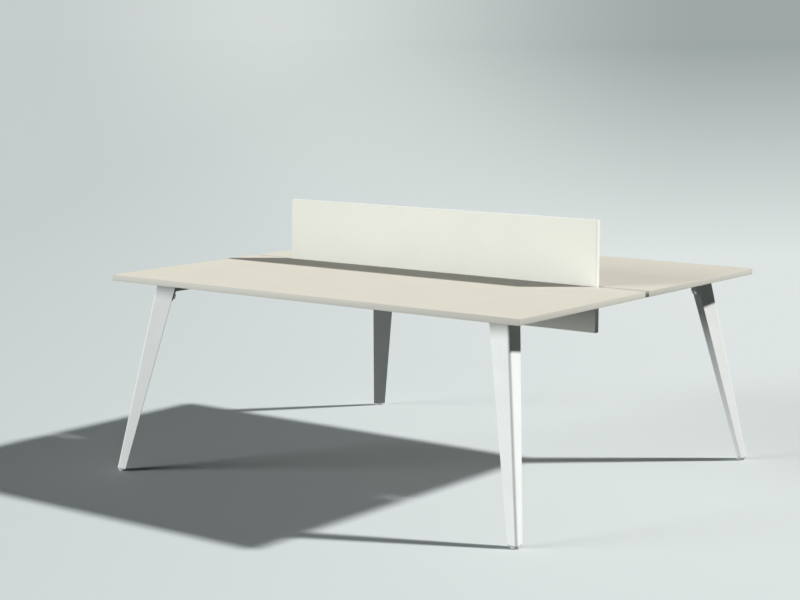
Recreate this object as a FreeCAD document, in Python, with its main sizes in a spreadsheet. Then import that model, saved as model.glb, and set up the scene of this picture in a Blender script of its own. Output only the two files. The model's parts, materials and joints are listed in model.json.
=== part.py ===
import FreeCAD, Part
import math
import os
import re
import Sketcher
from types import SimpleNamespace
from FreeCAD import Placement, Rotation, Vector

# Two-person workstation desk: two tops back to back, an upright screen between them,
# splayed three-sided tapered legs and a tube underframe.
# X runs along the desk, -Y is the front user's side, Z is up, the origin is on the floor at the centre.

# Driving dimensions, in millimetres and degrees
size = {
    "deskLength": 1800.0,
    "deskDepth": 1600.0,
    "deskHeight": 740.0,
    "topThickness": 22.0,
    "edgingThickness": 2.0,
    "screenLength": 1400.0,
    "screenThickness": 22.0,
    "screenRise": 235.0,
    "screenDrop": 165.0,
    "screenPlay": 1.0,
    "legHeadInset": 114.0,
    "footReach": 3.0,
    "legHeadDepth": 76.0,
    "legFootDepth": 36.0,
    "legFoldAngle": 70.0,
    "legFoldRadius": 9.0,
    "legBackRadius": 4.0,
    "legWall": 2.5,
    "legCapThickness": 5.0,
    "footHeight": 8.0,
    "plugRim": 3.0,
    "plugSpigot": 25.0,
    "plugPlay": 0.2,
    "insertDiameter": 14.0,
    "insertPlay": 0.05,
    "studDiameter": 8.0,
    "studPlay": 0.1,
    "studEngagement": 26.0,
    "footDiameter": 30.0,
    "footDiscHeight": 5.0,
    "footChamfer": 1.5,
    "footHexAcross": 17.0,
    "railWidth": 50.0,
    "railHeight": 40.0,
    "railWall": 2.5,
    "flangeThickness": 5.0,
    "flangeMargin": 1.5,
    "flangeHeight": 68.0,
    "flangeBoltEdge": 14.0,
    "legBoltDrop": 60.0,
    "legBoltSpread": 44.0,
    "nutPlateThickness": 6.0,
    "nutPlateMargin": 10.0,
    "boltDiameter": 8.0,
    "boltPlay": 0.5,
    "boltHeadAcross": 13.0,
    "boltHeadHeight": 5.5,
    "threadPlay": 0.05,
    "beamInset": 420.0,
    "beamWidth": 30.0,
    "endPlateThickness": 5.0,
    "endPlateWidth": 90.0,
    "endBoltSpread": 60.0,
    "screwDiameter": 4.6,
    "screwPlay": 0.3,
    "pilotPlay": 0.05,
    "screwBite": 14.0,
    "screwHeadDiameter": 9.0,
    "screwHeadHeight": 3.0,
    "driverHoleDiameter": 14.0,
    "railScrewInset": 126.0,
    "railScrewOffset": 150.0,
    "beamScrewInset": 220.0,
    "bracketInset": 250.0,
    "bracketWidth": 60.0,
    "bracketDrop": 80.0,
    "bracketReach": 50.0,
    "bracketThickness": 4.0,
    "bracketBend": 5.0,
    "bracketHolePitch": 30.0,
    "screenBoltDrop": 50.0,
    "screenBoltDiameter": 6.0,
    "screenBoltHead": 11.0,
    "screenBoltHeadHeight": 3.5,
    "screenNutAcross": 10.0,
    "screenNutHeight": 5.0,
    "bracketScrewReach": 32.0,
}
s = SimpleNamespace(**size)

doc = FreeCAD.newDocument("WorkstationDesk")
sheet = doc.addObject("Spreadsheet::Sheet", "Sizes")
for row, (alias, value) in enumerate(size.items(), start=1):
    sheet.set(f"A{row}", alias)
    sheet.set(f"B{row}", str(value))
    sheet.setAlias(f"B{row}", alias)
doc.recompute()

# Places worked out from the driving dimensions
underTop = s.deskHeight - s.topThickness
headX = s.deskLength / 2 - s.legHeadInset
headY = s.deskDepth / 2 - s.legHeadInset
legLean = (s.legHeadInset + s.footReach) * math.sqrt(2)
halfFold = math.radians(s.legFoldAngle) / 2
seatTilt = math.degrees(math.atan2(legLean + s.legHeadDepth - s.legFootDepth, underTop))
wallNormal = s.legWall * math.cos(math.radians(seatTilt))
railX = headX - s.legHeadDepth / math.sqrt(2)
railMiddle = underTop - s.railHeight / 2
beamY = s.deskDepth / 2 - s.beamInset
beamEnd = railX - s.railWidth / 2 - s.endPlateThickness
halfGap = s.screenThickness / 2 + s.screenPlay
bracketX = s.screenLength / 2 - s.bracketInset
corners = {
    "front_left": (-1, -1),
    "front_right": (1, -1),
    "rear_left": (-1, 1),
    "rear_right": (1, 1),
}
sidesX = {"left": -1, "right": 1}
sidesY = {"front": -1, "rear": 1}

nodes = {}


def inCells(formula):
    return re.sub(r"[A-Za-z]\w*", lambda m: f"Sizes.{m[0]}" if m[0] in size else m[0], formula)


def bind(thing, **formulas):
    for name, formula in formulas.items():
        thing.setExpression(name, inCells(formula))


def at(x, y, z, turn=None):
    return Placement(Vector(x, y, z), turn or Rotation())


def keep(name, thing):
    thing.Label = name
    nodes[name] = thing
    return thing


# Solids that the pieces are made from
def box(name, length, width, height, place):
    solid = doc.addObject("Part::Box", name)
    bind(solid, Length=length, Width=width, Height=height)
    solid.Placement = place
    return solid


def rod(name, diameter, height, place):
    solid = doc.addObject("Part::Cylinder", name)
    bind(solid, Radius=f"({diameter}) / 2", Height=height)
    solid.Placement = place
    return solid


def hexagon(name, across, height, place):
    solid = doc.addObject("Part::Prism", name)
    solid.Polygon = 6
    bind(solid, Circumradius=f"({across}) / sqrt(3)", Height=height)
    solid.Placement = place
    return solid


def joined(name, solids):
    whole = doc.addObject("Part::MultiFuse", name)
    whole.Shapes = solids
    return whole


def cut(name, base, tools):
    whole = doc.addObject("Part::Cut", name)
    whole.Base = base
    whole.Tool = tools[0] if len(tools) == 1 else joined(name + "_cutters", tools)
    return whole


def group(name, solids):
    together = doc.addObject("Part::Compound", name)
    together.Links = solids
    return keep(name, together)


def sketchOn(body, role, name):
    plane = next(p for p in body.Origin.OriginFeatures if p.Role == role)
    sketch = body.newObject("Sketcher::SketchObject", name)
    sketch.AttachmentSupport = (plane, [""])
    sketch.MapMode = "FlatFace"
    return sketch


def outline(sketch, points):
    for start, end in zip(points, points[1:] + points[:1]):
        sketch.addGeometry(Part.LineSegment(Vector(*start, 0), Vector(*end, 0)), False)
    count = len(points)
    for index in range(count):
        sketch.addConstraint(Sketcher.Constraint("Coincident", index, 2, (index + 1) % count, 1))


# The leg's three-sided section: its fold points outwards and its flat back faces the desk's middle.
# The section leans along the corner's diagonal and grows from the foot to the head.
under = "(deskHeight - topThickness)"
foldHalf = "(legFoldAngle * 1deg / 2)"


def apexAt(level):
    return -legLean * (1 - level / underTop)


def depthAt(level):
    return s.legFootDepth + (s.legHeadDepth - s.legFootDepth) * level / underTop


def sectionSketch(body, name, level, levelFormula, inset, insetFormula, radius, radiusFormula):
    leanFormula = f"(legHeadInset + footReach) * sqrt(2) * (1 - ({levelFormula}) / {under})"
    depthFormula = (f"(legFootDepth + (legHeadDepth - legFootDepth) * ({levelFormula}) / {under}"
                    f" - ({insetFormula}) * (1 + 1 / sin{foldHalf}))")
    depth = depthAt(level) - inset * (1 + 1 / math.sin(halfFold))
    back = radius - s.legFoldRadius + s.legBackRadius
    backFormula = f"({radiusFormula} - legFoldRadius + legBackRadius)"
    spread = depth * math.tan(halfFold) - back / math.tan((math.pi / 2 - halfFold) / 2)
    centres = [Vector(radius / math.sin(halfFold), 0, 0), Vector(depth - back, -spread, 0),
               Vector(depth - back, spread, 0)]
    turns = [math.pi / 2 + halfFold, 3 * math.pi / 2 - halfFold, 2 * math.pi, 5 * math.pi / 2 + halfFold]
    sketch = sketchOn(body, "XY_Plane", name)
    for centre, bend, start, end in zip(centres, (radius, back, back), turns, turns[1:]):
        circle = Part.Circle(centre, Vector(0, 0, 1), bend)
        sketch.addGeometry(Part.ArcOfCircle(circle, start, end), False)
    for arc in range(3):
        sides = sketch.Geometry
        side = Part.LineSegment(sides[arc].EndPoint, sides[(arc + 1) % 3].StartPoint)
        sketch.addGeometry(side, False)
    for arc in range(3):
        sketch.addConstraint(Sketcher.Constraint("Tangent", arc, 2, 3 + arc, 1))
        sketch.addConstraint(Sketcher.Constraint("Tangent", 3 + arc, 2, (arc + 1) % 3, 1))
    sketch.addConstraint(Sketcher.Constraint("PointOnObject", 0, 3, -1))
    sketch.addConstraint(Sketcher.Constraint("Symmetric", 1, 3, 2, 3, -1))
    sketch.addConstraint(Sketcher.Constraint("Equal", 1, 2))
    measures = [
        (Sketcher.Constraint("Radius", 0, radius), radiusFormula),
        (Sketcher.Constraint("Radius", 1, back), backFormula),
        (Sketcher.Constraint("DistanceX", -1, 1, 0, 3, centres[0].x), f"({radiusFormula}) / sin{foldHalf}"),
        (Sketcher.Constraint("DistanceX", -1, 1, 2, 3, centres[2].x), f"{depthFormula} - {backFormula}"),
        (Sketcher.Constraint("DistanceY", -1, 1, 2, 3, spread),
         f"{depthFormula} * tan{foldHalf} - {backFormula} / tan(45deg - {foldHalf} / 2)"),
    ]
    for constraint, formula in measures:
        index = sketch.addConstraint(constraint)
        bind(sketch, **{f"Constraints[{index}]": formula})
    bind(sketch, **{
        "AttachmentOffset.Base.x": f"({insetFormula}) / sin{foldHalf} - {leanFormula}",
        "AttachmentOffset.Base.z": levelFormula,
    })
    return sketch


def taperedBody(name, inset, insetFormula, radius, radiusFormula, place):
    body = doc.addObject("PartDesign::Body", name)
    shape = (inset, insetFormula, radius, radiusFormula)
    loft = body.newObject("PartDesign::AdditiveLoft", name + "_loft")
    loft.Profile = sectionSketch(body, name + "_low", 0, "0", *shape)
    loft.Sections = [sectionSketch(body, name + "_high", underTop, under, *shape)]
    loft.Ruled = True
    body.Tip = loft
    body.Placement = place
    return body


def slab(name, body, low, height):
    piece = doc.addObject("Part::Common", name)
    piece.Base = body
    piece.Tool = box(name + "_slab", "2 * deskLength", "2 * deskDepth", height,
                     at(-s.deskLength, -s.deskDepth, low))
    return piece


def cornerPlace(sideX, sideY):
    inward = math.degrees(math.atan2(-sideY, -sideX))
    return at(sideX * headX, sideY * headY, 0, Rotation(Vector(0, 0, 1), inward))


# The seat on the leg's flat back: its X axis leaves the leg and its Z axis runs up the slope
def seatPlace(corner):
    level = underTop - s.legBoltDrop
    back = apexAt(level) + depthAt(level)
    return cornerPlace(*corners[corner]).multiply(at(back, 0, level, Rotation(Vector(0, 1, 0), seatTilt)))


towardsRear = Rotation(Vector(1, 0, 0), -90)
intoLeg = Rotation(Vector(0, 1, 0), -90)


def sideways(sideX):
    return Rotation(Vector(0, 1, 0), 90 * sideX)


# A fastener's place is under its head, with Z running along the shank
def hexBolt(name, length, place):
    shank = rod(name + "_shank", "boltDiameter", length, place)
    headPlace = place.multiply(at(0, 0, -s.boltHeadHeight))
    head = hexagon(name + "_head", "boltHeadAcross", "boltHeadHeight", headPlace)
    return joined(name, [shank, head])


def panScrew(name, length, place):
    shank = rod(name + "_shank", "screwDiameter", length, place)
    headPlace = place.multiply(at(0, 0, -s.screwHeadHeight))
    head = rod(name + "_head", "screwHeadDiameter", "screwHeadHeight", headPlace)
    return joined(name, [shank, head])


def nut(name, across, height, hole, place):
    thread = rod(name + "_thread", f"{hole} + 2 * threadPlay", height, place)
    return cut(name, hexagon(name + "_hex", across, height, place), [thread])


def bores(name, diameter, length, places):
    return [rod(f"{name}_{number}", diameter, length, place) for number, place in enumerate(places)]


def legBoltSpots(corner):
    seat = seatPlace(corner)
    return [seat.multiply(at(s.flangeThickness, side * s.legBoltSpread / 2, 0, intoLeg)) for side in (-1, 1)]


# Legs with their caps, plugs and levelling feet
boltHole = "boltDiameter + 2 * boltPlay"
legThrough = "flangeThickness + legWall + nutPlateThickness"
legFoot = s.footHeight + s.plugRim
legHead = underTop - s.legCapThickness
insertLevel = s.footHeight + (s.plugRim + s.plugSpigot) / 2
footX = apexAt(insertLevel) + depthAt(insertLevel) / (1 + math.sin(halfFold))


def makeLeg(corner):
    place = cornerPlace(*corners[corner])
    inner = (s.legFoldRadius - s.legWall, "legFoldRadius - legWall")
    skin = taperedBody(f"skin_{corner}", 0, "0", s.legFoldRadius, "legFoldRadius", place)
    core = taperedBody(f"core_{corner}", s.legWall, "legWall", *inner, place)
    tube = slab(f"tube_{corner}", skin, legFoot, f"{under} - legCapThickness - footHeight - plugRim")
    holes = bores(f"leg_holes_{corner}", boltHole, legThrough, legBoltSpots(corner))
    keep(f"leg_{corner}", cut(f"leg_{corner}", tube, [core] + holes))
    keep(f"leg_cap_{corner}", slab(f"leg_cap_{corner}", skin, legHead, "legCapThickness"))
    plugCore = taperedBody(f"plug_core_{corner}", s.legWall + s.plugPlay, "legWall + plugPlay", *inner, place)
    rim = slab(f"rim_{corner}", skin, s.footHeight, "plugRim")
    spigot = slab(f"spigot_{corner}", plugCore, legFoot, "plugSpigot")
    hole = rod(f"plug_bore_{corner}", "insertDiameter + 2 * insertPlay", "plugRim + plugSpigot",
               place.multiply(at(footX, 0, s.footHeight)))
    plug = joined(f"plug_blank_{corner}", [rim, spigot])
    keep(f"foot_plug_{corner}", cut(f"foot_plug_{corner}", plug, [hole]))


def makeInsert(corner):
    place = cornerPlace(*corners[corner]).multiply(at(footX, 0, s.footHeight))
    sleeve = rod(f"insert_sleeve_{corner}", "insertDiameter", "plugRim + plugSpigot", place)
    hole = rod(f"insert_bore_{corner}", "studDiameter + 2 * studPlay", "plugRim + plugSpigot", place)
    return cut(f"insert_{corner}", sleeve, [hole])


def makeLevellingFoot(corner):
    place = cornerPlace(*corners[corner]).multiply(at(footX, 0, 0))
    body = doc.addObject("PartDesign::Body", f"foot_turned_{corner}")
    sketch = sketchOn(body, "XZ_Plane", f"foot_profile_{corner}")
    radius = s.footDiameter / 2
    stud = s.studDiameter / 2
    tip = s.footHeight + s.studEngagement
    outline(sketch, [(0, 0), (radius - s.footChamfer, 0), (radius, s.footChamfer), (radius, s.footDiscHeight),
                     (stud, s.footDiscHeight), (stud, tip), (0, tip)])
    sketch.addConstraint(Sketcher.Constraint("Coincident", 0, 1, -1, 1))
    for level in (0, 3, 5):
        sketch.addConstraint(Sketcher.Constraint("Horizontal", level))
    for upright in (2, 4, 6):
        sketch.addConstraint(Sketcher.Constraint("Vertical", upright))
    measures = [
        ("DistanceX", 0, radius - s.footChamfer, "footDiameter / 2 - footChamfer"),
        ("DistanceX", 1, radius, "footDiameter / 2"),
        ("DistanceY", 1, s.footChamfer, "footChamfer"),
        ("DistanceY", 2, s.footDiscHeight, "footDiscHeight"),
        ("DistanceX", 3, stud, "studDiameter / 2"),
        ("DistanceY", 4, tip, "footHeight + studEngagement"),
    ]
    for kind, line, value, formula in measures:
        index = sketch.addConstraint(Sketcher.Constraint(kind, -1, 1, line, 2, value))
        bind(sketch, **{f"Constraints[{index}]": formula})
    turned = body.newObject("PartDesign::Revolution", f"foot_spin_{corner}")
    turned.Profile = sketch
    turned.ReferenceAxis = (sketch, ["V_Axis"])
    body.Placement = place
    collar = hexagon(f"foot_collar_{corner}", "footHexAcross", "footHeight - footDiscHeight",
                     place.multiply(at(0, 0, s.footDiscHeight)))
    keep(f"levelling_foot_{corner}", joined(f"levelling_foot_{corner}", [body, collar]))


# Flanges on the rail ends, nut plates inside the legs, and the bolts between them
def makeFlange(corner):
    seat = seatPlace(corner)
    flangeWidth = s.railWidth * math.sqrt(2) + 2 * s.flangeMargin
    blank = box(f"flange_blank_{corner}", "flangeThickness", "railWidth * sqrt(2) + 2 * flangeMargin",
                "flangeHeight", seat.multiply(at(0, -flangeWidth / 2, -s.flangeBoltEdge)))
    holes = bores(f"flange_holes_{corner}", boltHole, "flangeThickness", legBoltSpots(corner))
    keep(f"rail_flange_{corner}", cut(f"rail_flange_{corner}", blank, holes))


def makeNutPlate(corner):
    seat = seatPlace(corner)
    halfWidth = s.legBoltSpread / 2 + s.nutPlateMargin
    blank = box(f"nut_plate_blank_{corner}", "nutPlateThickness", "legBoltSpread + 2 * nutPlateMargin",
                "2 * nutPlateMargin",
                seat.multiply(at(-wallNormal - s.nutPlateThickness, -halfWidth, -s.nutPlateMargin)))
    holes = bores(f"nut_plate_threads_{corner}", "boltDiameter + 2 * threadPlay", legThrough,
                  legBoltSpots(corner))
    keep(f"nut_plate_{corner}", cut(f"nut_plate_{corner}", blank, holes))


# Cross rails: tube mitred against the flanges, with holes for the beam bolts and top screws
screwRows = [headY - s.railScrewInset, beamY - s.railScrewOffset]
beamScrewX = beamEnd - s.beamScrewInset


def endBoltSpots(sideX):
    return [at(sideX * beamEnd, sideY * beamY + side * s.endBoltSpread / 2, railMiddle, sideways(sideX))
            for sideY in (-1, 1) for side in (-1, 1)]


def screwHoles(name, spots):
    fixing = [at(x, y, underTop - s.railWall) for x, y in spots]
    access = [at(x, y, underTop - s.railHeight) for x, y in spots]
    return (bores(name + "_fixing", "screwDiameter + 2 * screwPlay", "railWall", fixing)
            + bores(name + "_access", "driverHoleDiameter", "railWall", access))


def makeRail(side):
    sideX = sidesX[side]
    blank = box(f"rail_blank_{side}", "railWidth", "deskDepth - 2 * legHeadInset", "railHeight",
                at(sideX * railX - s.railWidth / 2, -headY, underTop - s.railHeight))
    hollow = box(f"rail_hollow_{side}", "railWidth - 2 * railWall", "deskDepth", "railHeight - 2 * railWall",
                 at(sideX * railX - s.railWidth / 2 + s.railWall, -s.deskDepth / 2,
                    underTop - s.railHeight + s.railWall))
    reach = 3 * s.legHeadDepth
    mitres = [box(f"rail_mitre_{end}_{side}", "3 * legHeadDepth", "3 * legHeadDepth", "3 * legHeadDepth",
                  seatPlace(f"{end}_{side}").multiply(at(s.flangeThickness - reach, -reach / 2, -reach / 2)))
              for end in sidesY]
    bolts = bores(f"rail_bolt_holes_{side}", boltHole,
                  "endPlateThickness + railWidth + railWall", endBoltSpots(sideX))
    screws = screwHoles(f"rail_screws_{side}",
                        [(sideX * railX, sideY * row) for sideY in (-1, 1) for row in screwRows])
    keep(f"cross_rail_{side}", cut(f"cross_rail_{side}", blank, [hollow] + mitres + bolts + screws))


# Long beams with welded end plates that bolt through the cross rails
def makeBeam(side):
    sideY = sidesY[side]
    length = "deskLength - 2 * legHeadInset - sqrt(2) * legHeadDepth - railWidth - 2 * endPlateThickness"
    blank = box(f"beam_blank_{side}", length, "beamWidth", "railHeight",
                at(-beamEnd, sideY * beamY - s.beamWidth / 2, underTop - s.railHeight))
    hollow = box(f"beam_hollow_{side}", length, "beamWidth - 2 * railWall", "railHeight - 2 * railWall",
                 at(-beamEnd, sideY * beamY - s.beamWidth / 2 + s.railWall,
                    underTop - s.railHeight + s.railWall))
    screws = screwHoles(f"beam_screws_{side}", [(x, sideY * beamY) for x in (-beamScrewX, 0, beamScrewX)])
    keep(f"{side}_beam", cut(f"{side}_beam", blank, [hollow] + screws))


def makeEndPlate(corner):
    sideX, sideY = corners[corner]
    inner = min(sideX * beamEnd, sideX * (beamEnd + s.endPlateThickness))
    blank = box(f"end_plate_blank_{corner}", "endPlateThickness", "endPlateWidth", "railHeight",
                at(inner, sideY * beamY - s.endPlateWidth / 2, underTop - s.railHeight))
    spots = [spot for spot in endBoltSpots(sideX) if spot.Base.y * sideY > 0]
    holes = bores(f"end_plate_holes_{corner}", boltHole, "endPlateThickness", spots)
    keep(f"beam_end_plate_{corner}", cut(f"beam_end_plate_{corner}", blank, holes))


# Tops: board, wrap-round edging and the screws that come up from the frame
bandDepth = "deskDepth / 2 - screenThickness / 2 - screenPlay"


def topScrewSpots(sideY):
    onRails = [(sideX * railX, sideY * row) for sideX in (-1, 1) for row in screwRows]
    onBeam = [(x, sideY * beamY) for x in (-beamScrewX, 0, beamScrewX)]
    return onRails + onBeam


def bracketScrewSpots(sideX, sideY):
    y = sideY * (s.screenThickness / 2 + s.bracketScrewReach)
    return [(sideX * bracketX + side * s.bracketHolePitch / 2, y) for side in (-1, 1)]


def makeTop(side):
    sideY = sidesY[side]
    nearY = min(sideY * halfGap, sideY * s.deskDepth / 2)
    rim = s.edgingThickness
    inner = ("deskLength - 2 * edgingThickness", f"{bandDepth} - 2 * edgingThickness", "topThickness")
    innerPlace = at(-s.deskLength / 2 + rim, nearY + rim, underTop)
    spots = topScrewSpots(sideY) + bracketScrewSpots(-1, sideY) + bracketScrewSpots(1, sideY)
    pilots = bores(f"pilots_{side}", "screwDiameter + 2 * pilotPlay", "screwBite",
                   [at(x, y, underTop) for x, y in spots])
    keep(f"{side}_top", cut(f"{side}_top", box(f"board_{side}", *inner, innerPlace), pilots))
    band = box(f"edging_blank_{side}", "deskLength", bandDepth, "topThickness",
               at(-s.deskLength / 2, nearY, underTop))
    opening = box(f"edging_opening_{side}", *inner, innerPlace)
    keep(f"{side}_top_edging", cut(f"{side}_top_edging", band, [opening]))
    screws = [panScrew(f"top_screw_{side}_{number}", "railWall + screwBite", at(x, y, underTop - s.railWall))
              for number, (x, y) in enumerate(topScrewSpots(sideY))]
    group(f"{side}_top_screws", screws)


# Screen: board and edging that hang in the gap, held by folded brackets under both tops
throughScreen = "screenThickness + 2 * bracketThickness"


def screenBoltSpots():
    start = -s.screenThickness / 2 - s.bracketThickness
    level = underTop - s.screenBoltDrop
    return [at(sideX * bracketX + side * s.bracketHolePitch / 2, start, level, towardsRear)
            for sideX in (-1, 1) for side in (-1, 1)]


def makeScreen():
    rim = s.edgingThickness
    inner = ("screenLength - 2 * edgingThickness", "screenThickness",
             "screenRise + screenDrop - 2 * edgingThickness")
    foot = s.deskHeight - s.screenDrop
    innerPlace = at(-s.screenLength / 2 + rim, -s.screenThickness / 2, foot + rim)
    holes = bores("screen_holes", "screenBoltDiameter + 2 * boltPlay", throughScreen, screenBoltSpots())
    keep("screen_panel", cut("screen_panel", box("screen_board", *inner, innerPlace), holes))
    band = box("screen_edging_blank", "screenLength", "screenThickness", "screenRise + screenDrop",
               at(-s.screenLength / 2, -s.screenThickness / 2, foot))
    keep("screen_edging", cut("screen_edging", band, [box("screen_edging_opening", *inner, innerPlace)]))


def makeBracket(corner):
    sideX, sideY = corners[corner]
    body = doc.addObject("PartDesign::Body", f"bracket_fold_{corner}")
    sketch = sketchOn(body, "YZ_Plane", f"bracket_profile_{corner}")
    wall = s.bracketThickness
    outline(sketch, [(0, 0), (s.bracketReach, 0), (s.bracketReach, -wall), (wall, -wall),
                     (wall, -s.bracketDrop), (0, -s.bracketDrop)])
    sketch.addConstraint(Sketcher.Constraint("Coincident", 0, 1, -1, 1))
    for level in (0, 2, 4):
        sketch.addConstraint(Sketcher.Constraint("Horizontal", level))
        sketch.addConstraint(Sketcher.Constraint("Vertical", level + 1))
    measures = [
        (0, s.bracketReach, "bracketReach"),
        (1, wall, "bracketThickness"),
        (4, wall, "bracketThickness"),
        (5, s.bracketDrop, "bracketDrop"),
    ]
    for line, value, formula in measures:
        index = sketch.addConstraint(Sketcher.Constraint("Distance", line, value))
        bind(sketch, **{f"Constraints[{index}]": formula})
    plate = body.newObject("PartDesign::Pad", f"bracket_plate_{corner}")
    plate.Profile = sketch
    plate.Midplane = True
    bind(plate, Length="bracketWidth")
    doc.recompute()
    bends = [
        ("outer", Vector(0, 0, 0), "bracketBend"),
        ("inner", Vector(0, wall, -wall), "bracketBend - bracketThickness"),
    ]
    last = plate
    for name, middle, radius in bends:
        edge = next(f"Edge{number}" for number, line in enumerate(last.Shape.Edges, start=1)
                    if line.CenterOfMass.distanceToPoint(middle) < wall / 4)
        bend = body.newObject("PartDesign::Fillet", f"bracket_{name}_bend_{corner}")
        bend.Base = (last, [edge])
        bind(bend, Radius=radius)
        doc.recompute()
        last = bend
    turn = Rotation(Vector(0, 0, 1), 90 - 90 * sideY)
    body.Placement = at(sideX * bracketX, sideY * s.screenThickness / 2, underTop, turn)
    across = bores(f"bracket_bolts_{corner}", "screenBoltDiameter + 2 * boltPlay", throughScreen,
                   [spot for spot in screenBoltSpots() if spot.Base.x * sideX > 0])
    upright = bores(f"bracket_holes_{corner}", "screwDiameter + 2 * screwPlay", "bracketThickness",
                    [at(x, y, underTop - wall) for x, y in bracketScrewSpots(sideX, sideY)])
    keep(f"screen_bracket_{corner}", cut(f"screen_bracket_{corner}", body, across + upright))


def makeFasteners():
    group("thread_inserts", [makeInsert(corner) for corner in corners])
    group("leg_bolts", [hexBolt(f"leg_bolt_{corner}_{number}", legThrough, spot)
                        for corner in corners for number, spot in enumerate(legBoltSpots(corner))])
    beamSpots = endBoltSpots(-1) + endBoltSpots(1)
    shank = "endPlateThickness + railWidth + boltHeadHeight"
    group("beam_bolts", [hexBolt(f"beam_bolt_{number}", shank, spot)
                         for number, spot in enumerate(beamSpots)])
    beyond = at(0, 0, s.endPlateThickness + s.railWidth)
    group("beam_nuts", [nut(f"beam_nut_{number}", "boltHeadAcross", "boltHeadHeight", "boltDiameter",
                            spot.multiply(beyond)) for number, spot in enumerate(beamSpots)])
    bolts = []
    nuts = []
    farSide = at(0, 0, s.screenThickness + 2 * s.bracketThickness)
    for number, spot in enumerate(screenBoltSpots()):
        pin = rod(f"screen_bolt_shank_{number}", "screenBoltDiameter",
                  f"{throughScreen} + screenNutHeight", spot)
        head = rod(f"screen_bolt_head_{number}", "screenBoltHead", "screenBoltHeadHeight",
                   spot.multiply(at(0, 0, -s.screenBoltHeadHeight)))
        bolts.append(joined(f"screen_bolt_{number}", [pin, head]))
        nuts.append(nut(f"screen_nut_{number}", "screenNutAcross", "screenNutHeight", "screenBoltDiameter",
                        spot.multiply(farSide)))
    group("screen_bolts", bolts)
    group("screen_nuts", nuts)
    group("bracket_screws", [panScrew(f"bracket_screw_{corner}_{number}", "bracketThickness + screwBite",
                                      at(x, y, underTop - s.bracketThickness))
                             for corner, sides in corners.items()
                             for number, (x, y) in enumerate(bracketScrewSpots(*sides))])


for cornerName in corners:
    for make in (makeLeg, makeLevellingFoot, makeFlange, makeNutPlate, makeEndPlate, makeBracket):
        make(cornerName)
for sideName in sidesX:
    makeRail(sideName)
for sideName in sidesY:
    makeBeam(sideName)
    makeTop(sideName)
makeScreen()
makeFasteners()
doc.recompute()

# Every object has to be sound before any file is written
for thing in doc.Objects:
    if "Invalid" in thing.State or "Error" in thing.State:
        raise RuntimeError(f"{thing.Name} did not rebuild: {thing.State}")
for name, thing in nodes.items():
    if thing.Shape.isNull() or not thing.Shape.isValid():
        raise RuntimeError(f"{name} has no sound shape")

os.makedirs("parts", exist_ok=True)
for name, thing in nodes.items():
    thing.Shape.exportStep(f"parts/{name}.step")
print(f"{len(nodes)} pieces written")
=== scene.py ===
import json
import math
import bpy
from mathutils import Matrix, Vector

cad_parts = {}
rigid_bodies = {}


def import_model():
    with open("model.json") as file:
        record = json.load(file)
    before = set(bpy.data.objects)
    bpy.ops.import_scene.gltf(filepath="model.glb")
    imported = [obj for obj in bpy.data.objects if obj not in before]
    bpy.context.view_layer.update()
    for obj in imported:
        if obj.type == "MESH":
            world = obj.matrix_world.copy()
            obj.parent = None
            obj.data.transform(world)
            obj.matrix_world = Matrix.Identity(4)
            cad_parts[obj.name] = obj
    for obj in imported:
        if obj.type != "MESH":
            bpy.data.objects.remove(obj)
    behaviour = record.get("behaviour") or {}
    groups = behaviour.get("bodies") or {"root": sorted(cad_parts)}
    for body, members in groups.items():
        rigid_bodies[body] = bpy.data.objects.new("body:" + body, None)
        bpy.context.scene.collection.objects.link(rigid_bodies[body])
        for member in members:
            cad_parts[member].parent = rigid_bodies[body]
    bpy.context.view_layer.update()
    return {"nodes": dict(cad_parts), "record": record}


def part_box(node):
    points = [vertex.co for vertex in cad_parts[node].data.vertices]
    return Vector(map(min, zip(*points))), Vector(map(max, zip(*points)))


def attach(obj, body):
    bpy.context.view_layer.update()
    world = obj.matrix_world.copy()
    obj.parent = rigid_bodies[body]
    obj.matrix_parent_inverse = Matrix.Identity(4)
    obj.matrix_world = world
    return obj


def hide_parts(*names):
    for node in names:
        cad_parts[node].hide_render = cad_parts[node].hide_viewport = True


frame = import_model()
nodes = frame["nodes"]
corners = ["front_left", "front_right", "rear_left", "rear_right"]
mm = 0.001  # sizes in the dictionaries are in millimetres
touching = 0.05 * mm  # closer to a side than this counts as on it


def hexColour(code):
    parts = [int(code[i:i + 2], 16) / 255 for i in (1, 3, 5)]
    linear = [p / 12.92 if p <= 0.04045 else ((p + 0.055) / 1.055) ** 2.4 for p in parts]
    return (*linear, 1)


# adds one node, sets or links its inputs by name or as n0, n1, and hands back one output
def addNode(tree, kind, out=0, settings=None, **inputs):
    node = tree.nodes.new(kind)
    for name, value in (settings or {}).items():
        setattr(node, name, value)
    for name, value in inputs.items():
        socket = node.inputs[int(name[1:]) if name[1:].isdigit() else name]
        if isinstance(value, bpy.types.NodeSocket):
            tree.links.new(value, socket)
        else:
            socket.default_value = value
    return node.outputs[out]


colourMix = {"data_type": "RGBA"}
noiseSpan = {"n1": 0.3, "n2": 0.7}  # nearly all of a noise lies in here
crystalSpan = {"n1": 0.1, "n2": 0.7}  # from the middle of a crystal to its rim
fleckSpan = {"n1": 0.45, "n2": 0.75}  # only the high spots show as flecks


def newFinish(name):
    material = bpy.data.materials.new(name)
    material.use_nodes = True
    tree = material.node_tree
    return material, tree, addNode(tree, "ShaderNodeTexCoord", "Object")


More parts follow.
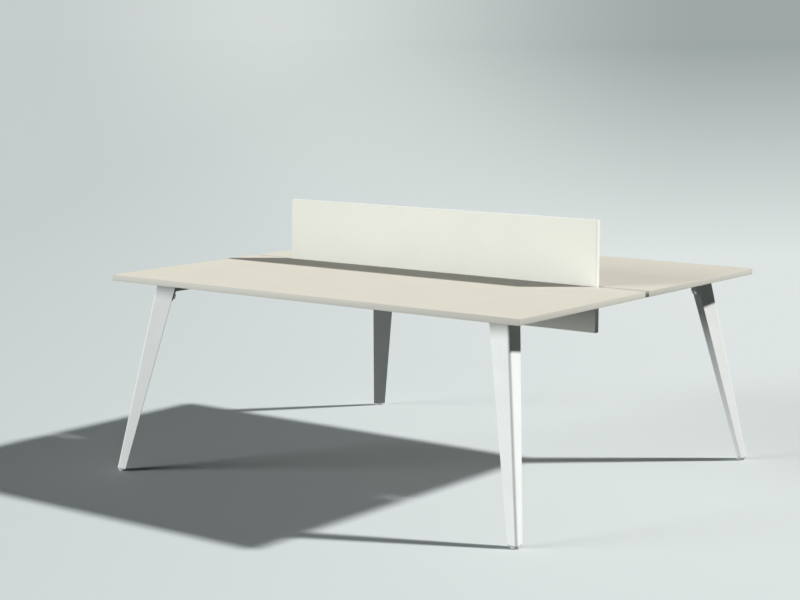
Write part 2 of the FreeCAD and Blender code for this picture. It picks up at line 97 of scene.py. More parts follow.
# colour from deep to pale along the broad pattern, flecks, gloss and relief along the fine one
def finishWith(material, look, broad, fine, span=noiseSpan):
    tree = material.node_tree
    shader = tree.nodes["Principled BSDF"]
    share = addNode(tree, "ShaderNodeMapRange", n0=broad, **span)
    tone = addNode(tree, "ShaderNodeMix", 2, colourMix, n0=share,
                   n6=hexColour(look["deep"]), n7=hexColour(look["pale"]))
    if "fleck" in look:
        share = addNode(tree, "ShaderNodeMapRange", n0=fine, n4=look["fleckShare"], **fleckSpan)
        tone = addNode(tree, "ShaderNodeMix", 2, colourMix, n0=share, n6=tone, n7=hexColour(look["fleck"]))
    gloss = addNode(tree, "ShaderNodeMapRange", n0=fine, n3=look["smooth"], n4=look["rough"], **span)
    tree.links.new(tone, shader.inputs["Base Color"])
    tree.links.new(gloss, shader.inputs["Roughness"])
    if "relief" in look:
        relief = addNode(tree, "ShaderNodeBump", Height=fine, Strength=look["relief"],
                         Distance=look["reliefMm"] * mm)
        tree.links.new(relief, shader.inputs["Normal"])
    if "ior" in look:
        shader.inputs["IOR"].default_value = look["ior"]
    shader.inputs["Metallic"].default_value = look.get("metallic", 0)
    return material


# Melamine-faced board: pressed paper foil, even colour with a faint cloud, matt with a fine pearl grain
# (the real grain is about 0.4 mm and is drawn coarser, so that it shows)
def melamine(name, look):
    material, tree, place = newFinish(name)
    cloud = addNode(tree, "ShaderNodeTexNoise", Vector=place, Scale=1000 / look["cloudMm"], Detail=3.0)
    fleck = addNode(tree, "ShaderNodeTexNoise", Vector=place, Scale=1000 / look["fleckMm"], Detail=1.0)
    return finishWith(material, look, cloud, fleck)


creamBoard = melamine("cream_melamine", {
    "deep": "#D6D1C3", "pale": "#D9D4C7", "fleck": "#CDC7B8", "fleckShare": 0.35,
    "cloudMm": 160, "fleckMm": 5,
    "smooth": 0.7, "rough": 0.82, "relief": 0.12, "reliefMm": 0.15, "ior": 1.5})
whiteBoard = melamine("white_melamine", {
    "deep": "#ECECE2", "pale": "#F0EFE5", "fleck": "#E4E4DA", "fleckShare": 0.3,
    "cloudMm": 200, "fleckMm": 5,
    "smooth": 0.62, "rough": 0.72, "relief": 0.12, "reliefMm": 0.15, "ior": 1.5})


# ABS edge band: extruded plastic strip, trimmed flush, half matt, with faint drawn lines along its length
# (real drawn lines are about 0.2 mm apart and are drawn coarser, so that they show)
def edgeBandPlastic(name, look):
    material, tree, place = newFinish(name)
    drawn = addNode(tree, "ShaderNodeMapping", Vector=place, Scale=look["drawn"])
    lines = addNode(tree, "ShaderNodeTexNoise", Vector=drawn, Scale=1000 / look["lineMm"], Detail=2.0)
    return finishWith(material, look, lines, lines)


creamBand = edgeBandPlastic("cream_abs_band", {
    "deep": "#D0CDC2", "pale": "#D8D5CA", "lineMm": 2, "drawn": (0.02, 0.02, 1),
    "smooth": 0.5, "rough": 0.62, "relief": 0.1, "reliefMm": 0.1, "ior": 1.52})
whiteBand = edgeBandPlastic("white_abs_band", {
    "deep": "#EEEFE8", "pale": "#F5F6EF", "lineMm": 2, "drawn": (0.02, 1, 0.02),
    "smooth": 0.5, "rough": 0.62, "relief": 0.1, "reliefMm": 0.1, "ior": 1.52})


# Powder coat: sprayed and baked polyester on steel, matt, with a soft orange peel
def powderCoat(name, look):
    material, tree, place = newFinish(name)
    cloud = addNode(tree, "ShaderNodeTexNoise", Vector=place, Scale=1000 / look["cloudMm"], Detail=2.0)
    peel = addNode(tree, "ShaderNodeTexNoise", Vector=place, Scale=1000 / look["peelMm"], Detail=2.0)
    return finishWith(material, look, cloud, peel)


legWhite = powderCoat("white_powder_coat", {
    "deep": "#F1F4F0", "pale": "#F7F9F6", "cloudMm": 120, "peelMm": 3,
    "smooth": 0.62, "rough": 0.74, "relief": 0.1, "reliefMm": 0.2, "ior": 1.5})
frameWhite = powderCoat("underframe_powder_coat", {
    "deep": "#E4E8E3", "pale": "#ECEFEB", "cloudMm": 120, "peelMm": 3,
    "smooth": 0.62, "rough": 0.74, "relief": 0.14, "reliefMm": 0.2, "ior": 1.5})
weldWhite = powderCoat("powder_coat_over_weld", {
    "deep": "#DDE1DC", "pale": "#E9ECE8", "cloudMm": 30, "peelMm": 4,
    "smooth": 0.45, "rough": 0.6, "relief": 0.8, "reliefMm": 0.2, "ior": 1.5})


# Zinc plate on steel: dull blue-grey metal with small crystals
def zincPlate(name, look):
    material, tree, place = newFinish(name)
    crystal = addNode(tree, "ShaderNodeTexVoronoi", Vector=place, Scale=1000 / look["crystalMm"])
    return finishWith(material, look, crystal, crystal, crystalSpan)


# Turned brass: yellow metal with fine lathe rings round its axis
def turnedBrass(name, look):
    material, tree, place = newFinish(name)
    turned = addNode(tree, "ShaderNodeMapping", Vector=place, Scale=look["turned"])
    rings = addNode(tree, "ShaderNodeTexNoise", Vector=turned, Scale=1000 / look["ringMm"], Detail=1.0)
    return finishWith(material, look, rings, rings)


# Moulded nylon: matt, a little waxy, with a spark-eroded grain
def mouldedNylon(name, look):
    material, tree, place = newFinish(name)
    grain = addNode(tree, "ShaderNodeTexNoise", Vector=place, Scale=1000 / look["grainMm"], Detail=2.0)
    return finishWith(material, look, grain, grain)


zinc = zincPlate("zinc_plated_steel", {
    "deep": "#B9BEC4", "pale": "#D2D5D8", "crystalMm": 1.2, "smooth": 0.42, "rough": 0.55, "metallic": 1})
brass = turnedBrass("turned_brass", {
    "deep": "#B8934A", "pale": "#D2B06A", "ringMm": 0.8, "turned": (0.1, 0.1, 1),
    "smooth": 0.25, "rough": 0.38, "metallic": 1})
greyNylon = mouldedNylon("grey_nylon", {
    "deep": "#B5B9B8", "pale": "#C1C5C4", "grainMm": 0.9,
    "smooth": 0.5, "rough": 0.65, "relief": 0.2, "reliefMm": 0.1, "ior": 1.53})
whiteNylon = mouldedNylon("white_nylon", {
    "deep": "#DCDFDD", "pale": "#E6E8E6", "grainMm": 0.9,
    "smooth": 0.5, "rough": 0.65, "relief": 0.2, "reliefMm": 0.1, "ior": 1.53})
slotFinish = {
    "top_laminate": creamBoard, "top_edging": creamBand, "screen_laminate": whiteBoard,
    "screen_edging": whiteBand, "leg_paint": legWhite, "frame_paint": frameWhite, "steel_zinc": zinc,
    "insert_brass": brass, "plug_plastic": greyNylon, "glide_plastic": whiteNylon}
for part in frame["record"]["subparts"]:
    mesh = nodes[part["node"]].data
    mesh.materials.clear()
    mesh.materials.append(slotFinish[part["material_slot"]])
nodes["screen_panel"].visible_diffuse = False  # no glow from the screen in its own shadow on the top
print("finishes ready:", len(slotFinish))


def deselect():
    bpy.ops.object.select_all(action="DESELECT")


def applyPlace():
    bpy.ops.object.transform_apply(location=True, rotation=True, scale=True)


def modifier(piece, kind, **settings):
    added = piece.modifiers.new(kind.title(), kind)
    for name, value in settings.items():
        setattr(added, name, value)
    bpy.ops.object.modifier_apply(modifier=added.name)


def settle(piece, name, body, slot, finish, *replaced):
    piece.name = name
    piece.data.materials.clear()
    piece.data.materials.append(finish)
    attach(piece, body)
    if replaced:
        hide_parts(*replaced)


# Edge bands: a frame of strip round each board, with the outer arrises eased
bandSpec = {"thickness": 2.0, "ease": 0.9, "steps": 3, "smoothBelow": 40}


def edgeBand(node, upAxis, finish, slot):
    low, high = (Vector(corner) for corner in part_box(node))
    size = high - low
    centre = (low + high) / 2
    centre[upAxis] = low[upAxis]
    turn = (math.pi / 2, 0, 0) if upAxis == 1 else (0, 0, 0)
    deselect()
    bpy.ops.mesh.primitive_plane_add(size=1, location=centre, rotation=turn)
    piece = bpy.context.object
    piece.scale = (size.x, size.z if upAxis == 1 else size.y, 1)
    applyPlace()
    bpy.ops.object.mode_set(mode="EDIT")
    bpy.ops.mesh.select_all(action="SELECT")
    bpy.ops.mesh.inset(thickness=bandSpec["thickness"] * mm, depth=0, use_boundary=True)
    bpy.ops.mesh.delete(type="FACE")
    bpy.ops.mesh.select_all(action="SELECT")
    rise = Vector((0, 0, 0))
    rise[upAxis] = size[upAxis]
    bpy.ops.mesh.extrude_region_move(TRANSFORM_OT_translate={"value": rise})
    bpy.ops.mesh.select_all(action="SELECT")
    bpy.ops.mesh.normals_make_consistent(inside=False)
    bpy.ops.object.mode_set(mode="OBJECT")
    modifier(piece, "BEVEL", width=bandSpec["ease"] * mm, segments=bandSpec["steps"], limit_method="ANGLE")
    bpy.ops.object.shade_smooth_by_angle(angle=math.radians(bandSpec["smoothBelow"]))
    settle(piece, node + "_strip", "desk", slot, finish, node)


edgeBand("front_top_edging", 2, creamBand, "top_edging")
edgeBand("rear_top_edging", 2, creamBand, "top_edging")
edgeBand("screen_edging", 1, whiteBand, "screen_edging")
print("edge bands done")

# Copies of the frame's shapes: points merged and flat faces joined, ready for eased edges and smooth folds
copySpec = {"merge": 0.01, "flatBelow": 0.5}


def cleanCopy(node):
    deselect()
    piece = nodes[node].copy()
    piece.data = nodes[node].data.copy()
    bpy.context.collection.objects.link(piece)
    for key in list(piece.keys()):
        del piece[key]
    piece.select_set(True)
    bpy.context.view_layer.objects.active = piece
    bpy.ops.object.parent_clear(type="CLEAR_KEEP_TRANSFORM")
    applyPlace()
    bpy.ops.object.mode_set(mode="EDIT")
    bpy.ops.mesh.select_all(action="SELECT")
    bpy.ops.mesh.remove_doubles(threshold=copySpec["merge"] * mm)
    bpy.ops.mesh.customdata_custom_splitnormals_clear()
    bpy.ops.mesh.dissolve_limited(angle_limit=math.radians(copySpec["flatBelow"]))
    bpy.ops.object.mode_set(mode="OBJECT")
    return piece


# selects what wanted(thing, points) is true for, and stays in edit mode
def pick(piece, mode, wanted):
    bpy.ops.object.mode_set(mode="EDIT")
    bpy.ops.mesh.select_mode(type=mode)
    bpy.ops.mesh.select_all(action="DESELECT")
    bpy.ops.object.mode_set(mode="OBJECT")
    things = {"VERT": piece.data.vertices, "EDGE": piece.data.edges, "FACE": piece.data.polygons}[mode]
    for thing in things:
        points = [thing.co] if mode == "VERT" else [piece.data.vertices[v].co for v in thing.vertices]
        thing.select = wanted(thing, points)
    bpy.ops.object.mode_set(mode="EDIT")


def smooth(angle=30):
    bpy.ops.object.mode_set(mode="OBJECT")
    bpy.ops.object.shade_smooth_by_angle(angle=math.radians(angle))
    modifier(bpy.context.object, "WEIGHTED_NORMAL", weight=100, keep_sharp=True)  # flat faces stay flat


# Legs: two faces with a soft fold and a flat back welded on, so the two back edges are crisper than the fold
legSpec = {"fold": 9.0, "backEdge": 4.0, "crisp": 1.0, "levelSlack": 0.02, "arcSlack": 0.1, "smoothBelow": 25}


# centre of each rounded back edge at one level, and the sharp corner outside it
def backEdges(ring):
    fold, radius = legSpec["fold"] * mm, legSpec["backEdge"] * mm
    back = Vector((-1, -1)).normalized()
    reach = max(back.dot(p) for p in ring)
    foldCentre = Vector([max(p[axis] for p in ring) - fold for axis in (0, 1)])
    found = []
    for axis in (0, 1):
        inner = min(p[axis] for p in ring) + radius
        other = (radius - reach) * math.sqrt(2) - inner
        centre = Vector((other, inner) if axis else (inner, other))
        span = foldCentre - centre
        face = span.normalized()  # turned to the outward normal of the folded face
        face.rotate(Matrix.Rotation(math.acos((radius - fold) / span.length) * (-1 if axis else 1), 2))
        found.append((centre, centre + radius * (face + back) / (1 + face.dot(back))))
    return found


# draws the points of the two back edges towards their sharp corners
def crispBack(piece, corner, low, high):
    signs = Vector((1 if "right" in corner else -1, 1 if "rear" in corner else -1))
    radius, share = legSpec["backEdge"] * mm, legSpec["crisp"] / legSpec["backEdge"]
    places = [(vertex, vertex.co.xy * signs) for vertex in piece.data.vertices]
    ends = []
    for level in (low, high):
        ring = [p for vertex, p in places if abs(vertex.co.z - level) < legSpec["levelSlack"] * mm]
        ends.append(backEdges(ring))
    for vertex, place in places:
        up = (vertex.co.z - low) / (high - low)
        for lower, upper in zip(*ends):
            centre, edge = (a.lerp(b, up) for a, b in zip(lower, upper))
            offArc = abs((place - centre).length - radius)
            if -0.001 < up < 1.001 and offArc < legSpec["arcSlack"] * mm:  # what is past the ends stays
                vertex.co.xy = (edge + share * (place - edge)) * signs


for corner in corners:
    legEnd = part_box("leg_" + corner)[0][2]
    for node, slot in (("leg", "leg_paint"), ("leg_cap", "leg_paint"), ("foot_plug", "plug_plastic")):
        low, high = (end[2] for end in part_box(f"{node}_{corner}"))
        piece = cleanCopy(f"{node}_{corner}")
        crispBack(piece, corner, low, legEnd if node == "foot_plug" else high)
        smooth(legSpec["smoothBelow"])
        settle(piece, f"{node}_{corner}_skin", "desk", slot, slotFinish[slot], f"{node}_{corner}")
print("legs done")

# Rails and beams: cold-rolled tube, so the long outer corners carry a radius
tubes = {"cross_rail_left": 1, "cross_rail_right": 1, "front_beam": 0, "rear_beam": 0}  # axis along the tube
tubeSpec = {"radius": 3.0, "steps": 5, "longEdge": 500}


def onCorner(point, low, high, along):
    return all(min(point[i] - low[i], high[i] - point[i]) < touching for i in (1 - along, 2))


def tube(node, along):
    piece = cleanCopy(node)
    low, high = (Vector(end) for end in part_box(node))

    def longCorner(edge, points):
        return (points[0] - points[1]).length > tubeSpec["longEdge"] * mm and all(
            onCorner(p, low, high, along) for p in points)

    pick(piece, "EDGE", longCorner)
    bpy.ops.mesh.bevel(offset=tubeSpec["radius"] * mm, segments=tubeSpec["steps"], affect="EDGES")
    smooth()
    settle(piece, node + "_tube", "desk", "frame_paint", frameWhite, node)


# Weld beads on the sides and the underside of each tube end, where it meets its plate
weldSpec = {"bead": 2.0, "cuts": 19, "ripple": 0.82, "fromMiddle": 450, "upright": 30, "bottom": 1,
            "roundness": 3, "smoothBelow": 60}


def weldBead(node, along, end):
    piece = cleanCopy(node)
    low, high = (Vector(side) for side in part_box(node))
    bottom = low.z + weldSpec["bottom"] * mm

    def atEnd(point):
        return point[along] * end > weldSpec["fromMiddle"] * mm and onCorner(point, low, high, along)

    def welded(edge, points):
        isUpright = abs(points[0].z - points[1].z) > weldSpec["upright"] * mm
        return all(map(atEnd, points)) and (isUpright or max(p.z for p in points) < bottom)

    pick(piece, "EDGE", welded)
    bpy.ops.mesh.select_all(action="INVERT")
    bpy.ops.mesh.delete(type="EDGE_FACE")
    bpy.ops.mesh.select_mode(type="VERT")
    bpy.ops.mesh.select_all(action="SELECT")
    bpy.ops.mesh.delete_loose(use_verts=True, use_edges=False, use_faces=False)
    pick(piece, "VERT", lambda vertex, points: points[0].z < bottom)
    bpy.ops.mesh.bevel(offset=tubeSpec["radius"] * mm, segments=tubeSpec["steps"], affect="VERTICES")
    bpy.ops.mesh.select_all(action="SELECT")
    bpy.ops.mesh.subdivide(number_cuts=weldSpec["cuts"])
    bpy.ops.object.mode_set(mode="OBJECT")
    bpy.ops.object.convert(target="CURVE")
    bead = bpy.context.object
    bead.data.bevel_depth = weldSpec["bead"] * mm
    bead.data.bevel_resolution = weldSpec["roundness"]
    bead.data.use_fill_caps = True
    for point in list(bead.data.splines[0].points)[::2]:
        point.radius = weldSpec["ripple"]
    bpy.ops.object.convert(target="MESH")
    bead = bpy.context.object
    smooth(weldSpec["smoothBelow"])
    settle(bead, f"{node}_weld_{'high' if end > 0 else 'low'}", "desk", "frame_paint", weldWhite)


for node, along in tubes.items():
    weldBead(node, along, -1)
    weldBead(node, along, 1)
    tube(node, along)
print("tubes and welds done")

# Plates: sheared edges broken by a small chamfer, given as its width and steps
plateEase = {"rail_flange": (0.7, 2), "beam_end_plate": (0.7, 2), "screen_bracket": (0.5, 2),
             "nut_plate": (0.5, 1)}
for stem, (width, steps) in plateEase.items():
    slot = "steel_zinc" if stem == "nut_plate" else "frame_paint"
    for corner in corners:
        node = f"{stem}_{corner}"
        piece = cleanCopy(node)
        modifier(piece, "BEVEL", width=width * mm, segments=steps, limit_method="ANGLE",
                 angle_limit=math.radians(50))
        smooth()
        settle(piece, node + "_plate", "desk", slot, slotFinish[slot], node)

# Bolts, nuts and sleeves: turned edges broken by a small chamfer
turnedEase = {"leg_bolts": 0.6, "beam_bolts": 0.6, "beam_nuts": 0.6, "screen_nuts": 0.4,
              "thread_inserts": 0.4}
for node, width in turnedEase.items():
    slot = "insert_brass" if node == "thread_inserts" else "steel_zinc"
    piece = cleanCopy(node)
    modifier(piece, "BEVEL", width=width * mm, segments=2, limit_method="ANGLE", angle_limit=math.radians(40))
    smooth()
    settle(piece, node + "_turned", "desk", slot, slotFinish[slot], node)
print("plates and bolts done")


# low and high corner of each loose part of a node, from left to right
def looseBoxes(node):
    cleanCopy(node)
    bpy.ops.object.mode_set(mode="EDIT")
    bpy.ops.mesh.select_all(action="SELECT")
    bpy.ops.mesh.separate(type="LOOSE")
    bpy.ops.object.mode_set(mode="OBJECT")
    boxes = []
    for part in list(bpy.context.selected_objects):
        points = [v.co for v in part.data.vertices]
        boxes.append([Vector([pickEnd(p[i] for p in points) for i in range(3)]) for pickEnd in (min, max)])
    bpy.ops.object.delete()
    return sorted(boxes, key=lambda ends: tuple(round(c, 4) for c in ends[0]))


def cutAway(piece, cutter):
    applyPlace()
    deselect()
    piece.select_set(True)
    bpy.context.view_layer.objects.active = piece
    modifier(piece, "BOOLEAN", object=cutter, operation="DIFFERENCE", solver="EXACT")
    bpy.data.objects.remove(cutter)


# Round-headed fasteners: domed head below z = 0 with a driver recess, shank above
# (dome and depth are shares of the head's height, hex and cross are shares of its width)
headSpec = {"dome": 0.55, "depth": 0.65, "hex": 0.29, "cross": (0.55, 0.13), "past": 1}
screwSpec = {"head": 9, "height": 3, "shank": 4.6, "length": 0, "tip": 0.15, "recess": "cross"}
boltSpec = {"head": 11, "height": 3.5, "shank": 6, "length": 0, "tip": 0.8, "recess": "hex"}


def roundHead(look):
    head, height, shank, length = (look[key] * mm for key in ("head", "height", "shank", "length"))
    deselect()
    bpy.ops.mesh.primitive_cylinder_add(vertices=48, radius=head / 2, depth=height,
                                        location=(0, 0, -height / 2))
    piece = bpy.context.object
    applyPlace()
    pick(piece, "EDGE", lambda edge, points: all(p.z < -height * 0.9 for p in points))  # the lower rim
    bpy.ops.mesh.bevel(offset=height * headSpec["dome"], segments=6, affect="EDGES")
    pick(piece, "FACE", lambda face, points: face.normal.z > 0.9)  # the upper face
    bpy.ops.mesh.inset(thickness=(head - shank) / 2, depth=0)
    bpy.ops.mesh.extrude_region_move(TRANSFORM_OT_translate={"value": (0, 0, length - shank / 3)})
    bpy.ops.mesh.extrude_region_move(TRANSFORM_OT_translate={"value": (0, 0, shank / 3)})
    bpy.ops.transform.resize(value=(look["tip"], look["tip"], 1), center_override=(0, 0, length))
    bpy.ops.object.mode_set(mode="OBJECT")
    past = headSpec["past"] * mm
    deep = height * headSpec["depth"] + past
    centre = (0, 0, -height - past + deep / 2)
    if look["recess"] == "hex":
        deselect()
        bpy.ops.mesh.primitive_cylinder_add(vertices=6, radius=head * headSpec["hex"], depth=deep,
                                            location=centre)
        cutAway(piece, bpy.context.object)
    else:
        long, wide = headSpec["cross"]
        for turn in (0, math.pi / 2):
            deselect()
            bpy.ops.mesh.primitive_cube_add(size=1, location=centre, rotation=(0, 0, turn))
            bpy.context.object.scale = (head * long, head * wide, deep)
            cutAway(piece, bpy.context.object)
    smooth()
    return piece


def copyTo(master, matrix):
    one = master.copy()
    one.data = master.data.copy()
    one.data.transform(matrix)
    bpy.context.collection.objects.link(one)
    return one


def placeCopies(master, matrices, name, slot, node):
    deselect()
    for matrix in matrices:
        one = copyTo(master, matrix)
        one.select_set(True)
        bpy.context.view_layer.objects.active = one
    bpy.ops.object.join()
    settle(bpy.context.object, name, "desk", slot, slotFinish[slot], node)
    bpy.data.objects.remove(master)


for node in ("front_top_screws", "rear_top_screws", "bracket_screws"):
    boxes = looseBoxes(node)
    screwSpec["length"] = (boxes[0][1].z - boxes[0][0].z) / mm - screwSpec["height"]
    places = []
    for low, high in boxes:
        seat = low.z + screwSpec["height"] * mm
        places.append(Matrix.Translation(((low.x + high.x) / 2, (low.y + high.y) / 2, seat)))
    placeCopies(roundHead(screwSpec), places, node + "_panhead", "steel_zinc", node)
boxes = looseBoxes("screen_bolts")
boltSpec["length"] = (boxes[0][1].y - boxes[0][0].y) / mm - boltSpec["height"]
towardsRear = Matrix.Rotation(-math.pi / 2, 4, "X")
places = []
for low, high in boxes:
    seat = low.y + boltSpec["height"] * mm
    places.append(Matrix.Translation(((low.x + high.x) / 2, seat, (low.z + high.z) / 2)) @ towardsRear)
placeCopies(roundHead(boltSpec), places, "screen_bolts_button", "steel_zinc", "screen_bolts")
print("screws done")

# Levelling feet: a moulded glide with a rounded shoulder, a steel stud with hexagon collar and rolled thread
footSpec = {"disc": 30, "discHeight": 5, "chamfer": 1.5, "shoulder": 1.2, "hollow": 3, "lip": 0.5,
            "lipDepth": 0.6, "hex": 17, "collar": 8, "collarEase": 0.5, "thread": 8, "core": 6.8,
            "pitch": 1.25, "tip": 34, "runOut": 0.5, "point": 0.8, "smoothBelow": 25}


def glide():
    tall = footSpec["discHeight"] * mm
    deselect()
    bpy.ops.mesh.primitive_cylinder_add(vertices=64, radius=footSpec["disc"] / 2 * mm, depth=tall,
                                        location=(0, 0, tall / 2))
    piece = bpy.context.object
    applyPlace()
    pick(piece, "EDGE", lambda edge, points: all(p.z > tall * 0.9 for p in points))  # the upper rim
    bpy.ops.mesh.bevel(offset=footSpec["shoulder"] * mm, segments=5, affect="EDGES")
    pick(piece, "EDGE", lambda edge, points: all(p.z < tall * 0.1 for p in points))  # the lower rim
    bpy.ops.mesh.bevel(offset=footSpec["chamfer"] * mm, segments=3, affect="EDGES")
    pick(piece, "FACE", lambda face, points: face.normal.z < -0.9 and len(points) > 8)  # the sole
    bpy.ops.mesh.inset(thickness=footSpec["hollow"] * mm, depth=0)
    bpy.ops.mesh.inset(thickness=footSpec["lip"] * mm, depth=-footSpec["lipDepth"] * mm)
    smooth()
    return piece


def stud():
    base, top, tip, runOut = (footSpec[key] * mm for key in ("discHeight", "collar", "tip", "runOut"))
    deselect()
    bpy.ops.mesh.primitive_cylinder_add(vertices=6, radius=footSpec["hex"] / math.sqrt(3) * mm,
                                        depth=top - base, location=(0, 0, (base + top) / 2))
    collar = bpy.context.object
    applyPlace()
    modifier(collar, "BEVEL", width=footSpec["collarEase"] * mm, segments=2, limit_method="ANGLE")
    deselect()
    level = top - runOut
    step = footSpec["pitch"] / 2 * mm
    grow = footSpec["thread"] / footSpec["core"]
    bpy.ops.mesh.primitive_circle_add(vertices=32, radius=footSpec["core"] / 2 * mm, fill_type="NGON",
                                      location=(0, 0, level))
    bpy.ops.object.mode_set(mode="EDIT")
    bpy.ops.mesh.select_all(action="SELECT")
    while level + step < tip - runOut:  # crest and root in turn
        level += step
        bpy.ops.mesh.extrude_region_move(TRANSFORM_OT_translate={"value": (0, 0, step)})
        bpy.ops.transform.resize(value=(grow, grow, 1), center_override=(0, 0, level))
        grow = 1 / grow
    bpy.ops.mesh.extrude_region_move(TRANSFORM_OT_translate={"value": (0, 0, tip - level)})
    bpy.ops.transform.resize(value=(footSpec["point"], footSpec["point"], 1), center_override=(0, 0, tip))
    bpy.ops.mesh.select_all(action="SELECT")
    bpy.ops.mesh.normals_make_consistent(inside=False)
    bpy.ops.object.mode_set(mode="OBJECT")
    applyPlace()
    collar.select_set(True)
    bpy.ops.object.join()
    smooth(footSpec["smoothBelow"])
    return bpy.context.object


glideMaster, studMaster = glide(), stud()
for corner in corners:
    low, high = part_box("levelling_foot_" + corner)
    spot = Matrix.Translation(((low[0] + high[0]) / 2, (low[1] + high[1]) / 2, 0))
    settle(copyTo(glideMaster, spot), "glide_" + corner, "foot_" + corner, "glide_plastic", whiteNylon,
           "levelling_foot_" + corner)
    settle(copyTo(studMaster, spot), "stud_" + corner, "foot_" + corner, "steel_zinc", zinc)
bpy.data.objects.remove(glideMaster)
bpy.data.objects.remove(studMaster)
print("feet done")

# Studio: one wide pale floor that runs to the horizon, a key lamp from behind right and a low fill from
# front left, with lengths in metres
cameraSpec = {"place": (4.029, -5.533, 1.607), "yaw": 37.21, "down": 8.11, "lens": 82.87, "reach": 2000}
# the floor's near and far tones are painted light and shade: near by lighter to the right, far off darker,
# darkest far to the right
floorSpec = {"side": 2400, "near": ("#BFC6C7", "#D7DDDC"), "far": ("#BFC6C6", "#CBD2D0", "#99A1A1"),
             "bounce": "#484C4C", "away": 6.85, "nearest": 4.0, "rough": 0.9}
floorSpan = {"n1": -4.0, "n2": 2.0}  # across the view, near tone from left to right
nearSpan = {"n1": 0.02, "n2": 0.5}  # from the far tones to the near ones
crestSpan = {"n1": -0.2, "n2": -0.07}  # slope from the camera's line of sight, left tone to the palest
fallSpan = {"n1": -0.07, "n2": 0.17}  # and from the palest to the right tone
lampSpec = {
    "key": {"towards": (0.604, 0.453, 0.656), "strength": 4.1, "spread": 3.5, "colour": "#FFFFFE"},
    "fill": {"towards": (-0.615, -0.76, 0.212), "strength": 3.15, "spread": 30, "colour": "#F8FBFC"}}
# the backdrop tones are painted light and shade: darker to the left, palest in the middle, darkest to the
# right
airSpec = {"level": 0.022, "tint": "#DCECF4", "backdrop": ("#C6CDCD", "#D3DAD8", "#9FA7A7")}
softStep = {"interpolation_type": "SMOOTHSTEP"}
divide, larger = {"operation": "DIVIDE"}, {"operation": "MAXIMUM"}


def sideTone(tree, slope, tones):
    first, palest, last = (hexColour(tone) for tone in tones)
    crest = addNode(tree, "ShaderNodeMapRange", 0, softStep, n0=slope, **crestSpan)
    fall = addNode(tree, "ShaderNodeMapRange", 0, softStep, n0=slope, **fallSpan)
    left = addNode(tree, "ShaderNodeMix", 2, colourMix, n0=crest, n6=first, n7=palest)
    return addNode(tree, "ShaderNodeMix", 2, colourMix, n0=fall, n6=left, n7=last)


# 1 for rays that look at the backdrop, straight or in a reflection
def seenShare(tree):
    path = tree.nodes.new("ShaderNodeLightPath").outputs
    glint = addNode(tree, "ShaderNodeMath", 0, larger,
                    n0=path["Is Glossy Ray"], n1=path["Is Transmission Ray"])
    return addNode(tree, "ShaderNodeMath", 0, larger, n0=path["Is Camera Ray"], n1=glint)
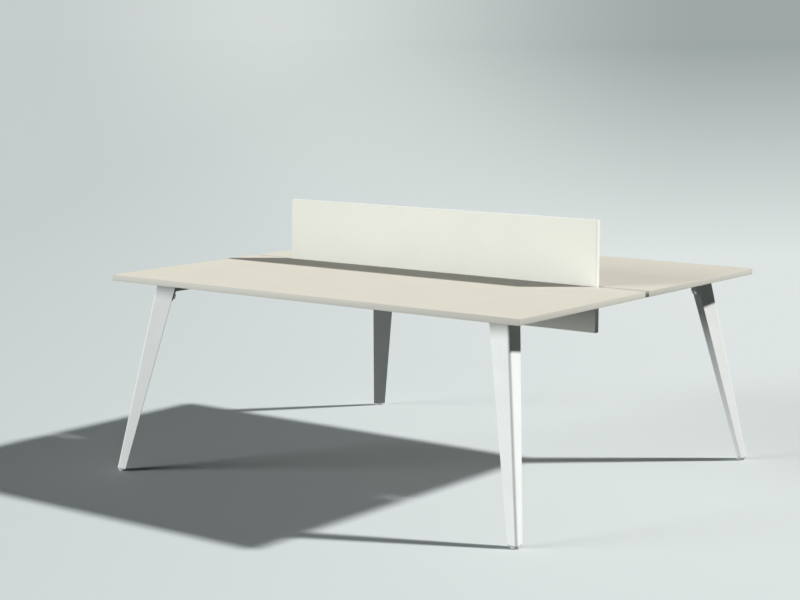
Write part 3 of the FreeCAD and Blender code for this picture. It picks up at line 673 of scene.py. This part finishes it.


# Matt studio paper: pale grey, with painted light and shade: a little lighter to the right and darker far off
def studioPaper():
    material, tree, place = newFinish("studio_paper")
    along = addNode(tree, "ShaderNodeSeparateXYZ", "X", n0=place)
    depth = addNode(tree, "ShaderNodeSeparateXYZ", "Y", n0=place)
    away = addNode(tree, "ShaderNodeMath", n0=depth, n1=floorSpec["away"])
    away = addNode(tree, "ShaderNodeMath", 0, larger, n0=away, n1=floorSpec["nearest"])
    near = addNode(tree, "ShaderNodeMath", 0, divide, n0=floorSpec["away"], n1=away)
    across = addNode(tree, "ShaderNodeMapRange", 0, softStep, n0=along, **floorSpan)
    nearTone = addNode(tree, "ShaderNodeMix", 2, colourMix, n0=across,
                       n6=hexColour(floorSpec["near"][0]), n7=hexColour(floorSpec["near"][1]))
    farTone = sideTone(tree, addNode(tree, "ShaderNodeMath", 0, divide, n0=along, n1=away), floorSpec["far"])
    nearShare = addNode(tree, "ShaderNodeMapRange", n0=near, **nearSpan)
    tone = addNode(tree, "ShaderNodeMix", 2, colourMix, n0=nearShare, n6=farTone, n7=nearTone)
    tone = addNode(tree, "ShaderNodeMix", 2, colourMix, n0=seenShare(tree),
                   n6=hexColour(floorSpec["bounce"]), n7=tone)
    shader = tree.nodes["Principled BSDF"]
    tree.links.new(tone, shader.inputs["Base Color"])
    shader.inputs["Roughness"].default_value = floorSpec["rough"]
    shader.inputs["Specular IOR Level"].default_value = 0
    # clear from below, so that the underside can be looked at
    below = addNode(tree, "ShaderNodeNewGeometry", "Backfacing")
    paper = addNode(tree, "ShaderNodeMixShader", n0=below, n1=shader.outputs[0],
                    n2=addNode(tree, "ShaderNodeBsdfTransparent"))
    tree.links.new(paper, tree.nodes["Material Output"].inputs["Surface"])
    return material


def studio():
    deselect()
    bpy.ops.mesh.primitive_plane_add(size=floorSpec["side"])
    floor = bpy.context.object
    floor.rotation_euler = (0, 0, math.radians(cameraSpec["yaw"]))
    floor.name = "studio_floor"
    floor.data.materials.append(studioPaper())


def lamps():
    for name, spec in lampSpec.items():
        lamp = bpy.data.lights.new(name, "SUN")
        lamp.energy = spec["strength"]
        lamp.angle = math.radians(spec["spread"])
        lamp.color = hexColour(spec["colour"])[:3]
        holder = bpy.data.objects.new(name, lamp)
        holder.rotation_euler = Vector(spec["towards"]).to_track_quat("Z", "Y").to_euler()
        bpy.context.collection.objects.link(holder)


# Air: the backdrop for rays that look at it, with painted shade that darkens it to the left and most to the
# right, and a faint cool light on the desk
def studioAir():
    world = bpy.data.worlds.new("studio_air")
    world.use_nodes = True
    tree = world.node_tree
    air = tree.nodes["Background"]
    turned = addNode(tree, "ShaderNodeMapping", Vector=addNode(tree, "ShaderNodeTexCoord", "Generated"),
                     Rotation=(0, 0, -math.radians(cameraSpec["yaw"])))
    slope = addNode(tree, "ShaderNodeSeparateXYZ", "X", n0=turned)
    backdrop = sideTone(tree, slope, airSpec["backdrop"])
    share = seenShare(tree)
    tone = addNode(tree, "ShaderNodeMix", 2, colourMix, n0=share, n6=hexColour(airSpec["tint"]), n7=backdrop)
    tree.links.new(tone, air.inputs["Color"])
    level = addNode(tree, "ShaderNodeMapRange", n0=share, n3=airSpec["level"], n4=1.0)
    tree.links.new(level, air.inputs["Strength"])
    bpy.context.scene.world = world


def camera():
    view = bpy.data.cameras.new("photo_camera")
    view.lens = cameraSpec["lens"]
    view.clip_end = cameraSpec["reach"]
    holder = bpy.data.objects.new("photo_camera", view)
    holder.location = cameraSpec["place"]
    holder.rotation_euler = (math.radians(90 - cameraSpec["down"]), 0, math.radians(cameraSpec["yaw"]))
    bpy.context.collection.objects.link(holder)
    bpy.context.scene.camera = holder


studio()
lamps()
studioAir()
camera()
bpy.context.scene.view_settings.view_transform = "Standard"
print("studio ready")
